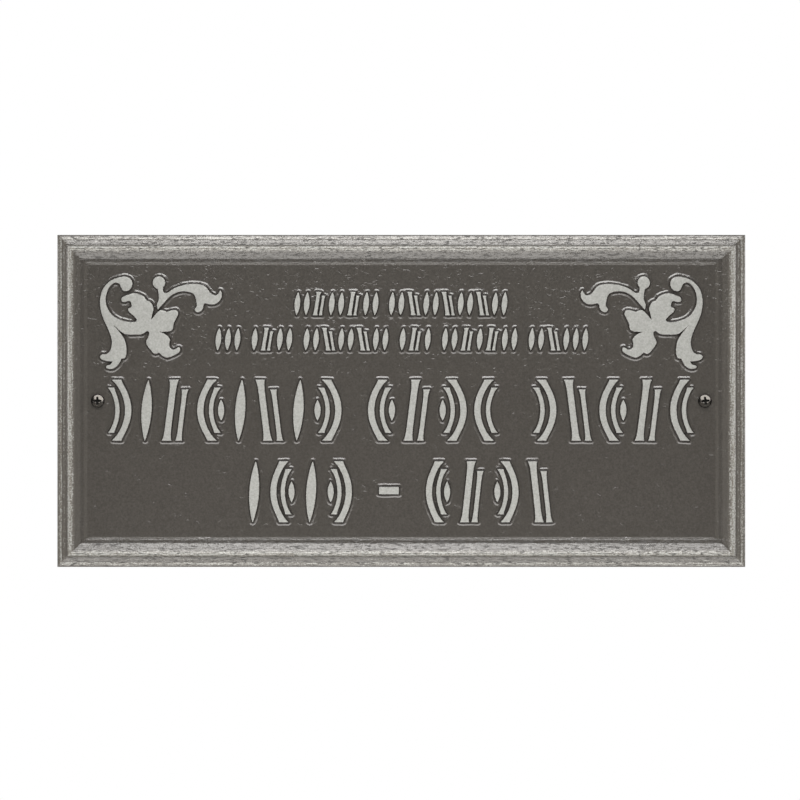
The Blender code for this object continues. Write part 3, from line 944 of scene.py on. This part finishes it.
left_screw = screw_mesh("left_round_head_screw", -SCREW_X, 0)
right_screw = screw_mesh("right_round_head_screw", SCREW_X, -6)
for screw, node_name in ((left_screw, "left_screw"), (right_screw, "right_screw")):
    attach(screw, "root")
    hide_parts(node_name)

# %% [markdown]
# ## The finish of the casting
#
# The real finish is one coat of dark pewter enamel over a sand-cast surface, rubbed off the high
# faces with abrasive so that bare aluminium shows. Two materials meeting at an edge could not show
# worn places, so one material mixes both finishes with a mask: the mesh says how much each part
# was rubbed, and noise drawn out along the frame's sides breaks up the half-rubbed mouldings.
# Two faults of the making belong to the look: dark sand holes that the abrasive dragged along the
# rails, and faint curled marks where the spray dried too soon.


# %% Helpers: sRGB to linear, and one function that adds a node
def linear(hex_colour):
    """The linear colour, with alpha, of an sRGB hex value."""
    values = [int(hex_colour[i : i + 2], 16) / 255 for i in (1, 3, 5)]
    return (*[v / 12.92 if v <= 0.04045 else ((v + 0.055) / 1.055) ** 2.4 for v in values], 1)


def set_inputs(owner, node, inputs):
    """Gives each input a value, or a link from an output or from a node's first live output."""
    for key, value in inputs.items():
        if isinstance(value, bpy.types.Node):
            value = next(output for output in value.outputs if output.enabled)
        if isinstance(value, bpy.types.NodeSocket):
            owner.node_tree.links.new(value, node.inputs[key])
        else:
            node.inputs[key].default_value = value


def add_node(owner, kind, inputs, **settings):
    """Adds a node. In a Mix node, input 0 is the share, 2 and 3 are numbers, 6 and 7 colours."""
    node = owner.node_tree.nodes.new("ShaderNode" + kind)
    for name, value in settings.items():
        setattr(node, name, value)
    set_inputs(owner, node, inputs)
    return node


def new_material(name):
    material = bpy.data.materials.new(name)
    material.use_nodes = True
    return material, material.node_tree.nodes["Principled BSDF"]


print("linear pewter:", [round(v, 3) for v in linear("#56524D")])

# %% Pewter enamel on sand-cast aluminium, rubbed to bare metal on the high faces
# Sprayed enamel over sand casting: a dark, half-glossy skin that follows the grain of the sand, so
# it glints where a slope faces a light. Rubbed aluminium: pale, satin, finely scratched.
finish, shader = new_material("pewter_enamel_rubbed_back_to_cast_aluminium")
rubbed_here = add_node(finish, "Attribute", {}, attribute_name="rubbed").outputs["Fac"]
# Painted shade in the corners round the raised shapes, from the mesh.
pooled_here = add_node(finish, "Attribute", {}, attribute_name="pooled").outputs["Fac"]
side_vector = add_node(finish, "Attribute", {}, attribute_name="side_run").outputs["Vector"]
in_metres = add_node(finish, "TexCoord", {}).outputs["Object"]
# Streaks about 14 mm long and 0.5 mm wide run along each side of the frame.
drawn_out = add_node(finish, "Mapping", {"Vector": side_vector, "Scale": (1 / 14, 1 / 0.5, 1 / 4)})
streaks = add_node(
    finish, "TexNoise", {"Vector": drawn_out, "Scale": 1000, "Detail": 3, "Roughness": 0.6}
)
# Moulding sand leaves a grain of about 0.5 mm. It is drawn at 0.9 mm, which is what still shows.
sand = add_node(
    finish, "TexNoise", {"Vector": in_metres, "Scale": 1 / 0.0009, "Detail": 2, "Roughness": 0.6}
)
# Orange peel in the sprayed enamel, 2.5 mm from one swell to the next.
peel = add_node(finish, "TexNoise", {"Vector": in_metres, "Scale": 1 / 0.0025, "Detail": 2})
# Abrasive of a medium grit scratches 0.05 mm wide. The marks are drawn at 0.35 mm, or none shows.
scratches = add_node(finish, "TexNoise", {"Vector": in_metres, "Scale": 1 / 0.00035, "Detail": 2})
print(f"{len(finish.node_tree.nodes)} nodes with the patterns")

# %% Where the metal is bare
# Half-rubbed places are where rubbed * (1 - rubbed) is large, and only they are broken up.
left_over = add_node(finish, "Math", {0: 1.0, 1: rubbed_here}, operation="SUBTRACT")
halfway = add_node(finish, "Math", {0: rubbed_here, 1: left_over}, operation="MULTIPLY")
patches = add_node(finish, "Math", {0: streaks, 1: sand}, operation="ADD")
patch_swing = add_node(finish, "Math", {0: patches, 1: 1.0}, operation="SUBTRACT")
breaking = add_node(finish, "Math", {0: patch_swing, 1: halfway}, operation="MULTIPLY")
wear = add_node(
    finish, "Math", {0: breaking, 1: 9.0, 2: rubbed_here}, operation="MULTIPLY_ADD"
)
bare = add_node(
    finish,
    "MapRange",
    {"Value": wear, "From Min": 0.18, "From Max": 0.85},
    interpolation_type="SMOOTHSTEP",
)
print(f"{len(finish.node_tree.nodes)} nodes with the wear")

# %% Sand holes in the frame's long rails
# Only the frame was left rough from the sand. The vector's second number, the inset, tells frame
# from field, and its first tells the rails from the ends, where it counts from 400 mm.
run_and_inset = add_node(finish, "SeparateXYZ", {"Vector": side_vector})
fading_out = {"To Min": 1.0, "To Max": 0.0}
frame_limits = {"From Min": (MOULDING_WIDTH - 0.6) * MM, "From Max": MOULDING_WIDTH * MM}
rail_limits = {"From Min": STILE_RUN / 2 * MM, "From Max": (STILE_RUN / 2 + 50) * MM}
on_frame = add_node(
    finish, "MapRange", {"Value": run_and_inset.outputs["Y"], **frame_limits, **fading_out}
)
on_rail = add_node(
    finish, "MapRange", {"Value": run_and_inset.outputs["X"], **rail_limits, **fading_out}
)
holed = add_node(finish, "Math", {0: on_frame, 1: on_rail}, operation="MULTIPLY")
# The abrasive dragged the holes out to about 3 x 0.6 mm.
dragged = add_node(finish, "Mapping", {"Vector": side_vector, "Scale": (1 / 3, 1 / 0.6, 1 / 4)})
holes_noise = add_node(
    finish, "TexNoise", {"Vector": dragged, "Scale": 1000, "Detail": 2, "Roughness": 0.6}
)
sunk = add_node(finish, "MapRange", {"Value": holes_noise, "From Min": 0.53, "From Max": 0.63})
pits = add_node(finish, "Math", {0: sunk, 1: holed}, operation="MULTIPLY")
print(f"{len(finish.node_tree.nodes)} nodes with the sand holes")

# %% The colour
enamel_colour = add_node(
    finish, "Mix", {0: sand, 6: linear("#2A2825"), 7: linear("#403D39")}, data_type="RGBA"
)
metal_colour = add_node(
    finish, "Mix", {0: sand, 6: linear("#7E7F7C"), 7: linear("#AEAFAC")}, data_type="RGBA"
)
# Light rubbing only scuffs the enamel paler, before it goes through to the metal.
scuffed = add_node(
    finish, "MapRange", {"Value": rubbed_here, "From Min": 0.0, "From Max": 0.5, "To Max": 0.45}
)
scuffed_colour = add_node(
    finish, "Mix", {0: scuffed, 6: enamel_colour, 7: linear("#86827A")}, data_type="RGBA"
)
# Painted shade: the coat is darkened in the corners round the raised shapes and, a little, in
# the frame's hollows, where shade falls.
coat_colour_with_painted_shade = add_node(
    finish, "Mix", {0: pooled_here, 6: scuffed_colour, 7: linear("#191715")}, data_type="RGBA"
)
colour = add_node(finish, "Mix", {0: bare, 6: coat_colour_with_painted_shade, 7: metal_colour}, data_type="RGBA")
# The enamel sank into the sand holes, so the abrasive missed it and they stayed dark.
pit_shade = add_node(finish, "Math", {0: pits, 1: 0.85}, operation="MULTIPLY")
pitted_colour = add_node(
    finish, "Mix", {0: pit_shade, 6: colour, 7: linear("#201E1C")}, data_type="RGBA"
)
print(f"{len(finish.node_tree.nodes)} nodes with the colour")

# %% The roughness: half-glossy enamel, satin metal, and dull pits
enamel_rough = add_node(
    finish,
    "MapRange",
    {"Value": sand, "From Min": 0.35, "From Max": 0.65, "To Min": 0.20, "To Max": 0.27},
)
metal_rough = add_node(finish, "MapRange", {"Value": scratches, "To Min": 0.56, "To Max": 0.68})
rough = add_node(finish, "Mix", {0: bare, 2: enamel_rough, 3: metal_rough}, data_type="FLOAT")
pitted_rough = add_node(finish, "Mix", {0: pits, 2: rough, 3: 0.60}, data_type="FLOAT")
print(f"{len(finish.node_tree.nodes)} nodes with the roughness")

# %% Curled marks in the enamel
# Short curled ridges, about 3 mm long, where the spray dried before it flowed out. They are
# thickest high on the field. Each is the thin line where slow noise crosses its middle value.
curl = add_node(finish, "TexNoise", {"Vector": in_metres, "Scale": 1 / 0.0036, "Detail": 2})
off_middle = add_node(finish, "Math", {0: curl, 1: 0.5}, operation="SUBTRACT")
off_line = add_node(finish, "Math", {0: off_middle}, operation="ABSOLUTE")
curl_line = add_node(
    finish, "MapRange", {"Value": off_line, "From Min": 0.0, "From Max": 0.045, **fading_out}
)
dry_spots = add_node(finish, "TexNoise", {"Vector": in_metres, "Scale": 1 / 0.0045, "Detail": 0})
height_here = add_node(finish, "SeparateXYZ", {"Vector": in_metres}).outputs["Z"]
how_high = add_node(
    finish,
    "MapRange",
    {"Value": height_here, "From Min": -0.03, "From Max": 0.05, "To Min": 0.66, "To Max": 0.42},
)
above_limit = add_node(finish, "Math", {0: dry_spots, 1: how_high}, operation="SUBTRACT")
dried = add_node(finish, "MapRange", {"Value": above_limit, "From Min": 0.0, "From Max": 0.08})
curled = add_node(finish, "Math", {0: curl_line, 1: dried}, operation="MULTIPLY")
print(f"{len(finish.node_tree.nodes)} nodes with the curled marks")

# %% The relief that is too fine for the mesh
# The coat has its peel, its sand grain and the curled marks, and the metal its scratches.
grain_height = add_node(finish, "Math", {0: peel, 1: 2.0, 2: sand}, operation="MULTIPLY_ADD")
flow_height = add_node(finish, "Math", {0: grain_height, 1: 0.22}, operation="MULTIPLY")
enamel_height = add_node(
    finish, "Math", {0: curled, 1: 0.78, 2: flow_height}, operation="MULTIPLY_ADD"
)
metal_height = add_node(finish, "Math", {0: scratches, 1: 0.25}, operation="MULTIPLY")
# The frame is rougher under both. The mean of that roughness, 0.8 * 0.5 + 0.5, is taken off, or
# the edge of the mask would stand up as a step of its own.
rough_work = add_node(finish, "Math", {0: sand, 1: 0.8, 2: streaks}, operation="MULTIPLY_ADD")
rough_swing = add_node(finish, "Math", {0: rough_work, 1: 0.9}, operation="SUBTRACT")
fettling = add_node(finish, "Math", {0: rough_swing, 1: on_frame}, operation="MULTIPLY")
enamel_relief = add_node(
    finish, "Math", {0: fettling, 1: 1.9, 2: enamel_height}, operation="MULTIPLY_ADD"
)
metal_relief = add_node(
    finish, "Math", {0: fettling, 1: 1.5, 2: metal_height}, operation="MULTIPLY_ADD"
)
relief = add_node(finish, "Mix", {0: bare, 2: enamel_relief, 3: metal_relief}, data_type="FLOAT")
surface = add_node(finish, "Bump", {"Height": relief, "Strength": 0.6, "Distance": 0.00012})
# The enamel carries fine metal flakes, so it reflects more than plain paint does.
set_inputs(
    finish,
    shader,
    {
        "Base Color": pitted_colour,
        "Metallic": bare,
        "Roughness": pitted_rough,
        "Normal": surface,
        "Specular IOR Level": 0.7,
    },
)
casting_mesh.materials.append(finish)
print(f"{len(finish.node_tree.nodes)} nodes in the casting's finish")

# %% [markdown]
# ## The finish of the screws
#
# The screws are steel with a black oxide and lacquer. The finish is dark and glossy, so what the
# eye sees on the dome is mostly the shape of the lights. The recess has a material of its own,
# near-black and almost without reflection: painted shade in the cross.

# %% Blackened steel, lacquered
# Black oxide under clear lacquer: almost no colour of its own and a sharp, bright highlight.
black_steel, steel_shader = new_material("blackened_steel_under_clear_lacquer")
steel_metres = add_node(black_steel, "TexCoord", {}).outputs["Object"]
# The oxide is faintly uneven, in patches of 0.6 mm with finer ones inside them.
oxide = add_node(
    black_steel, "TexNoise", {"Vector": steel_metres, "Scale": 1 / 0.0006, "Detail": 3}
)
steel_colour = add_node(
    black_steel, "Mix", {0: oxide, 6: linear("#33312F"), 7: linear("#474542")}, data_type="RGBA"
)
steel_rough = add_node(black_steel, "MapRange", {"Value": oxide, "To Min": 0.16, "To Max": 0.30})
steel_surface = add_node(
    black_steel, "Bump", {"Height": oxide, "Strength": 0.35, "Distance": 0.00006}
)
set_inputs(
    black_steel,
    steel_shader,
    {
        "Base Color": steel_colour,
        "Metallic": 1.0,
        "Roughness": steel_rough,
        "Normal": steel_surface,
    },
)
print(f"{len(black_steel.node_tree.nodes)} nodes in the screws' finish")

# %% Painted shade in the recess
# Painted shade: the recess is near-black and reflects almost nothing, over the screw's own black
# oxide, so the cross reads black.
recess, recess_shader = new_material("painted_shade_in_the_screw_recess")
recess_metres = add_node(recess, "TexCoord", {}).outputs["Object"]
# Its powdery grain is far finer than a pixel, so it is drawn at 0.3 mm.
recess_grain = add_node(recess, "TexNoise", {"Vector": recess_metres, "Scale": 1 / 0.0003})
recess_rough = add_node(recess, "MapRange", {"Value": recess_grain, "To Min": 0.55, "To Max": 1.0})
set_inputs(
    recess,
    recess_shader,
    {
        "Base Color": linear("#060605"),
        "Roughness": recess_rough,
        "Specular IOR Level": 0.05,
    },
)
BELOW_DOME = 0.12
for screw in (left_screw, right_screw):
    screw.data.materials.append(black_steel)
    screw.data.materials.append(recess)
    for face in screw.data.polygons:
        above_seat = -face.center.y / MM - SEAT
        from_axis = math.hypot(abs(face.center.x / MM) - SCREW_X, face.center.z / MM)
        under_dome = 0 < above_seat < head_height(from_axis) - BELOW_DOME
        # The faces of the cross recess take the painted shade.
        if under_dome and from_axis < CROSS_HALF + 0.1:
            face.material_index = 1
    in_recess = sum(face.material_index for face in screw.data.polygons)
    print(f"{screw.name}: {in_recess} faces in the recess")

# %% [markdown]
# ## The studio
#
# In the photo the slopes that face up are bright, those that face down less so, and those that
# face sideways are dark. So a large soft box hangs in front of the plaque and above it, a panel
# overhead and a bright card on the floor light the rails' other slopes, and two narrow strips far
# out at the sides graze the ends. Nothing bright stands behind the camera, or the flat enamel would
# mirror it. The screws mirror a panel of their own: light linking keeps it off the plaque.
# The background is plain white, which the world gives to camera rays only.

# %% World and floor
scene = bpy.context.scene
scene.view_settings.view_transform = "Standard"
world = bpy.data.worlds.new("white studio")
scene.world = world
world.use_nodes = True
background = world.node_tree.nodes["Background"]
set_inputs(world, background, {"Color": linear("#FFFCF9"), "Strength": 0.20})
seen = add_node(world, "Background", {"Color": linear("#FFFFFF")})
by_camera = add_node(world, "LightPath", {}).outputs["Is Camera Ray"]
choose = add_node(world, "MixShader", {0: by_camera, 1: background, 2: seen})
set_inputs(world, world.node_tree.nodes["World Output"], {"Surface": choose})

floor_mesh = bpy.data.meshes.new("studio_floor")
FLOOR_HEIGHT = -0.30
corners = ((-0.8, -0.8), (0.8, -0.8), (0.8, 0.4), (-0.8, 0.4))
floor_mesh.from_pydata([(x, y, FLOOR_HEIGHT) for x, y in corners], [], [(0, 1, 2, 3)])
floor = add_object("studio_floor", floor_mesh)
pale_board, board_shader = new_material("pale_painted_board")
set_inputs(pale_board, board_shader, {"Base Color": linear("#E8E6E2"), "Roughness": 0.7})
floor_mesh.materials.append(pale_board)
print(f"floor at {FLOOR_HEIGHT:.2f} m, {len(world.node_tree.nodes)} nodes in the world")

# %% Lights
SOFT_WHITE = "#FFFDFB"


def lit_by(name, pieces):
    """A collection for light linking: its lights fall on these pieces alone."""
    group = bpy.data.collections.new(name)
    for piece in pieces:
        group.objects.link(piece)
    return group


def soft_box(name, receivers, place, towards, width, height, radiance, roll=0):
    """An area light of a given brightness: the watts follow from its size."""
    light = bpy.data.lights.new(name, "AREA")
    light.shape = "RECTANGLE"
    light.size = width
    light.size_y = height
    light.energy = radiance * math.pi * width * height
    light.color = linear(SOFT_WHITE)[:3]
    lamp = add_object(name, light)
    lamp.location = place
    lamp.rotation_euler = (Vector(towards) - Vector(place)).to_track_quat("-Z", "Y").to_euler()
    lamp.rotation_euler.rotate_axis("Z", math.radians(roll))
    lamp.visible_camera = False
    lamp.light_linking.receiver_collection = receivers


on_plaque = lit_by("lit by the main lights", [casting, floor])
on_screws = lit_by("lit by the panel for the screws", [left_screw, right_screw])
soft_box("soft box above", on_plaque, (0, -0.92, 0.89), (0, 0, 0), 1.0, 0.65, 10.35)
soft_box("top panel", on_plaque, (0, -0.15, 1.20), (0, 0, 0), 0.8, 0.8, 1.7)
soft_box("card on the floor", on_plaque, (0, -0.39, -0.285), (0, -0.39, 0), 0.8, 0.40, 3.8)
soft_box("strip at the right", on_plaque, (1.25, -0.10, 0.20), (0, 0, 0), 0.35, 0.8, 9)
soft_box("strip at the left", on_plaque, (-1.20, -0.12, 0.35), (0, 0, 0), 0.35, 0.8, 9)
# Two thirds of each polished dome mirrors one large panel, up and to the right.
soft_box("panel for the screws", on_screws, (0.24, -0.52, 0.84), (0, 0, 0), 3.3, 3.5, 10, -25)

# %% [markdown]
# ## The camera
#
# The photo shows the plaque square on with hardly any perspective, so a long lens stands well
# back. The plaque is 688 of 800 pixels wide, which gives the width of the frame at its distance.

# %% Camera
FRAME_WIDTH = 428.4 * MM
DISTANCE = 1.19
SENSOR_WIDTH = 36
# The photo's plaque sits a little right of the picture's middle, and a little below it.
ASIDE = -0.7 * MM
ABOVE = 0.51 * MM
camera_data = bpy.data.cameras.new("camera")
camera_data.sensor_width = SENSOR_WIDTH
camera_data.lens = SENSOR_WIDTH * DISTANCE / FRAME_WIDTH
camera = add_object("camera", camera_data)
camera.location = (ASIDE, -DISTANCE - 0.004, ABOVE)
camera.rotation_euler = (math.radians(90), 0, 0)
scene.camera = camera
print(f"lens {camera_data.lens:.1f} mm")
